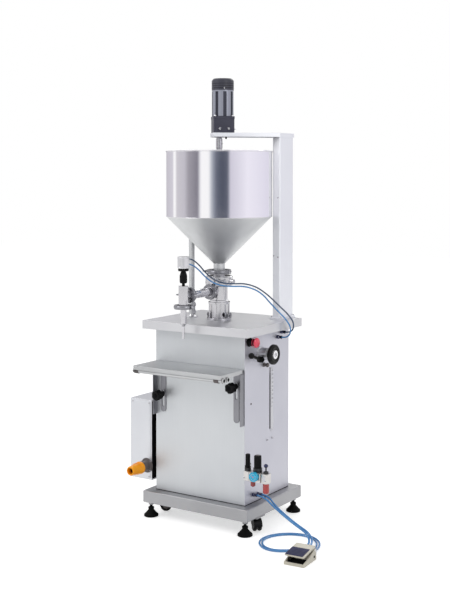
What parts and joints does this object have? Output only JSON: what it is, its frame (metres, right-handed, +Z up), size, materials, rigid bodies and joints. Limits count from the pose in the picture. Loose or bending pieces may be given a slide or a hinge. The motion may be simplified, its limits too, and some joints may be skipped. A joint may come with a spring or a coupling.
{
  "type": "semi-automatic piston filler",
  "caption": "Free-standing semi-automatic piston filler: stirred conical hopper over a dosing cylinder with a front nozzle, sheet-steel cabinet, work shelf, dose handwheel and foot pedal.",
  "frame": {"origin": "on the floor under the middle of the base frame", "axes": "+Z up, +X to the operator's right, -Y to the front, where the nozzle and shelf are"},
  "size_m": [0.9617, 0.6057, 1.829],
  "materials": {
    "frame_steel": "satin",
    "brushed_sheet": "brushed",
    "pale_steel": "satin",
    "polished_steel": "polished",
    "motor_paint": "satin",
    "black_plastic": "matte",
    "grey_plastic": "matte",
    "white_plastic": "matte",
    "orange_plastic": "semi-gloss",
    "cyan_plastic": "gloss",
    "red_bowl": "translucent gloss",
    "red_plastic": "gloss",
    "dark_blue_plastic": "gloss",
    "blue_tube": "semi-gloss",
    "aluminium": "satin",
    "cast_aluminium": "cast",
    "pedal_paint": "satin",
    "foot_black": "matte",
    "caster_rubber": "matte"
  },
  "bodies": {
    "machine": {"base_frame": "frame_steel", "cabinet_shell": "brushed_sheet", "table_top": "brushed_sheet", "mast_post": "pale_steel", "mast_arm": "pale_steel", "gearbox": "motor_paint", "motor_body": "motor_paint", "hopper": "polished_steel", "pipe_clamps": "polished_steel", "valve_body": "polished_steel", "dosing_cylinder": "polished_steel", "outlet_pipe": "polished_steel", "nozzle_body": "polished_steel", "nozzle_bonnet": "black_plastic", "nozzle_cylinder": "aluminium", "air_cylinder": "aluminium", "electric_box": "brushed_sheet", "power_socket": "grey_plastic", "frl_body": "cast_aluminium", "pressure_gauge": "cyan_plastic", "frl_bowls": "red_bowl", "tube_fittings": "dark_blue_plastic", "e_stop_base": "black_plastic", "wheel_bearing": "aluminium", "pedal_base": "pedal_paint", "air_tube_rear": "blue_tube", "air_tube_front": "blue_tube", "pedal_tube_front": "blue_tube", "pedal_tube_rear": "blue_tube"},
    "stirrer": {"stirrer": "polished_steel"},
    "needle": {"nozzle_rod": "polished_steel"},
    "piston": {"dosing_piston": "white_plastic", "crosshead": "polished_steel"},
    "stop": {"stop_carriage": "aluminium"},
    "screw": {"lead_screw": "polished_steel"},
    "wheel": {"handwheel": "black_plastic"},
    "lever": {"clamp_lever": "black_plastic"},
    "stop_button": {"e_stop_head": "red_plastic"},
    "inlet_grip": {"inlet_knob": "black_plastic"},
    "pressure_grip": {"regulator_knob": "black_plastic"},
    "plug": {"power_plug": "orange_plastic"},
    "shelf": {"work_shelf": "brushed_sheet", "shelf_brackets": "brushed_sheet"},
    "left_grip": {"star_knob_left": "black_plastic"},
    "right_grip": {"star_knob_right": "black_plastic"},
    "door": {"rear_door": "brushed_sheet"},
    "latch": {"door_latch": "polished_steel"},
    "treadle": {"pedal_treadle": "pedal_paint"},
    "foot_front_left": {"foot_front_left": "foot_black"},
    "fork_front_left": {"caster_fork_front_left": "black_plastic"},
    "roller_front_left": {"caster_wheel_front_left": "caster_rubber"},
    "foot_front_right": {"foot_front_right": "foot_black"},
    "fork_front_right": {"caster_fork_front_right": "black_plastic"},
    "roller_front_right": {"caster_wheel_front_right": "caster_rubber"},
    "foot_rear_left": {"foot_rear_left": "foot_black"},
    "fork_rear_left": {"caster_fork_rear_left": "black_plastic"},
    "roller_rear_left": {"caster_wheel_rear_left": "caster_rubber"},
    "foot_rear_right": {"foot_rear_right": "foot_black"},
    "fork_rear_right": {"caster_fork_rear_right": "black_plastic"},
    "roller_rear_right": {"caster_wheel_rear_right": "caster_rubber"}
  },
  "joints": [
    {"name": "stirrer_turn", "type": "hinge", "parent": "machine", "child": "stirrer", "pos_m": [-0.012, -0.008, 1.4], "axis": [0, 0, 1], "continuous": true},
    {"name": "needle_lift", "type": "slide", "parent": "machine", "child": "needle", "axis": [0, 0, 1], "range_m": [0, 0.01]},
    {"name": "piston_stroke", "type": "slide", "parent": "machine", "child": "piston", "axis": [0, 0, 1], "range_m": [0, 0.15]},
    {"name": "stop_travel", "type": "slide", "parent": "machine", "child": "stop", "axis": [0, 0, 1], "range_m": [-0.15, 0]},
    {"name": "screw_turn", "type": "hinge", "parent": "machine", "child": "screw", "pos_m": [0.168, -0.06, 0.5], "axis": [0, 0, 1], "range_deg": [-10, 2710]},
    {"name": "wheel_turn", "type": "hinge", "parent": "machine", "child": "wheel", "pos_m": [0.285, -0.06, 0.708], "axis": [1, 0, 0], "range_deg": [-10, 2710]},
    {"name": "lever_turn", "type": "hinge", "parent": "machine", "child": "lever", "pos_m": [0.249, -0.1, 0.69], "axis": [1, 0, 0], "range_deg": [-12, 60]},
    {"name": "stop_press", "type": "slide", "parent": "machine", "child": "stop_button", "axis": [1, 0, 0], "range_m": [-0.005, 0], "stiffness_N_per_m": 800, "springref_m": 0.001},
    {"name": "inlet_turn", "type": "hinge", "parent": "machine", "child": "inlet_grip", "pos_m": [0.238, -0.178, 0.303], "axis": [0, 0, 1], "range_deg": [-180, 180]},
    {"name": "pressure_turn", "type": "hinge", "parent": "machine", "child": "pressure_grip", "pos_m": [0.284, -0.178, 0.3], "axis": [0, 0, 1], "range_deg": [-720, 720]},
    {"name": "plug_pull", "type": "slide", "parent": "machine", "child": "plug", "axis": [0, -1, 0], "range_m": [0, 0.05]},
    {"name": "shelf_height", "type": "slide", "parent": "machine", "child": "shelf", "axis": [0, 0, 1], "range_m": [-0.01, 0.045]},
    {"name": "left_grip_turn", "type": "hinge", "parent": "machine", "child": "left_grip", "pos_m": [-0.181, -0.2, 0.518], "axis": [0, 1, 0], "continuous": true},
    {"name": "right_grip_turn", "type": "hinge", "parent": "machine", "child": "right_grip", "pos_m": [0.181, -0.2, 0.586], "axis": [0, 1, 0], "continuous": true},
    {"name": "door_swing", "type": "hinge", "parent": "machine", "child": "door", "pos_m": [-0.2, 0.179, 0.465], "axis": [0, 0, 1], "range_deg": [0, 110]},
    {"name": "latch_turn", "type": "hinge", "parent": "door", "child": "latch", "pos_m": [0.175, 0.175, 0.45], "axis": [0, 1, 0], "range_deg": [0, 90]},
    {"name": "treadle_press", "type": "hinge", "parent": "machine", "child": "treadle", "pos_m": [0.558, -0.2851, 0.037], "axis": [0.9976, 0.0698, 0], "range_deg": [0, 8], "stiffness_Nm_per_rad": 6, "springref_deg": -2.86},
    {"name": "foot_screw_front_left", "type": "slide", "parent": "machine", "child": "foot_front_left", "axis": [0, 0, 1], "range_m": [-0.015, 0.01]},
    {"name": "swivel_front_left", "type": "hinge", "parent": "machine", "child": "fork_front_left", "pos_m": [-0.233, -0.11, 0.055], "axis": [0, 0, 1], "continuous": true},
    {"name": "roll_front_left", "type": "hinge", "parent": "fork_front_left", "child": "roller_front_left", "pos_m": [-0.22167, -0.10177, 0.026], "axis": [0.5878, -0.809, 0], "continuous": true},
    {"name": "foot_screw_front_right", "type": "slide", "parent": "machine", "child": "foot_front_right", "axis": [0, 0, 1], "range_m": [-0.015, 0.01]},
    {"name": "swivel_front_right", "type": "hinge", "parent": "machine", "child": "fork_front_right", "pos_m": [0.233, -0.11, 0.055], "axis": [0, 0, 1], "continuous": true},
    {"name": "roll_front_right", "type": "hinge", "parent": "fork_front_right", "child": "roller_front_right", "pos_m": [0.24324, -0.11955, 0.026], "axis": [-0.682, -0.7314, 0], "continuous": true},
    {"name": "foot_screw_rear_left", "type": "slide", "parent": "machine", "child": "foot_rear_left", "axis": [0, 0, 1], "range_m": [-0.015, 0.01]},
    {"name": "swivel_rear_left", "type": "hinge", "parent": "machine", "child": "fork_rear_left", "pos_m": [-0.15, 0.191, 0.055], "axis": [0, 0, 1], "continuous": true},
    {"name": "roll_rear_left", "type": "hinge", "parent": "fork_rear_left", "child": "roller_rear_left", "pos_m": [-0.157, 0.17888, 0.026], "axis": [-0.866, 0.5, 0], "continuous": true},
    {"name": "foot_screw_rear_right", "type": "slide", "parent": "machine", "child": "foot_rear_right", "axis": [0, 0, 1], "range_m": [-0.015, 0.01]},
    {"name": "swivel_rear_right", "type": "hinge", "parent": "machine", "child": "fork_rear_right", "pos_m": [0.15, 0.191, 0.055], "axis": [0, 0, 1], "continuous": true},
    {"name": "roll_rear_right", "type": "hinge", "parent": "fork_rear_right", "child": "roller_rear_right", "pos_m": [0.13648, 0.19462, 0.026], "axis": [0.2588, 0.9659, 0], "continuous": true}
  ],
  "couplings": [
    {"joint": "screw_turn", "follows": "stop_travel", "rad_per_m": -314.16},
    {"joint": "wheel_turn", "follows": "stop_travel", "rad_per_m": -314.16}
  ]
}
